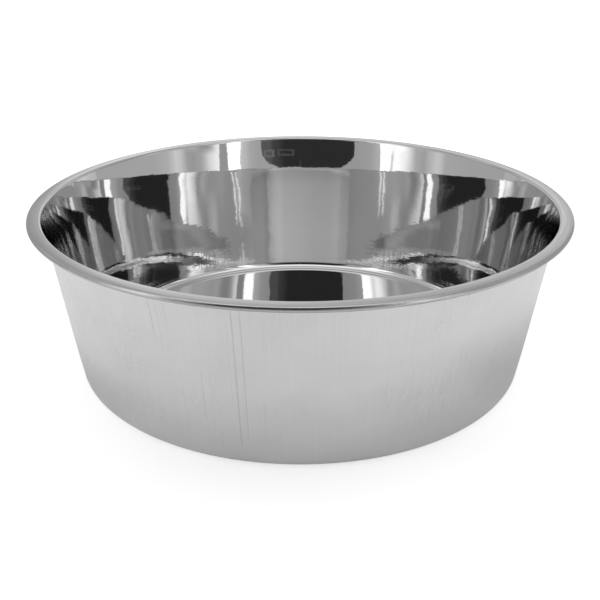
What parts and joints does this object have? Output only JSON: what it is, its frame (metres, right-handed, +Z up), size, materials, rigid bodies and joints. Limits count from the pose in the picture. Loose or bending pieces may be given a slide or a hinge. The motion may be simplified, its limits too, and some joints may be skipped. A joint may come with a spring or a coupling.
{
  "type": "dog bowl",
  "caption": "Round stainless feeding bowl with a leaning wall, flat base, mirror inside, satin outside and a flat rim with its edge rolled under.",
  "frame": {"origin": "centre of the base on the surface that the bowl stands on", "axes": "+Z up along the bowl's axis of symmetry; X and Y are equivalent"},
  "size_m": [0.28, 0.28, 0.087],
  "materials": {
    "floor_steel": "mirror polish above, satin below",
    "wall_steel": "mirror polish inside, satin outside with faint upright draw lines",
    "rim_steel": "fine turned polish"
  },
  "bodies": {
    "root": {"floor_pan": "floor_steel", "side_wall": "wall_steel", "rolled_rim": "rim_steel"}
  },
  "joints": []
}
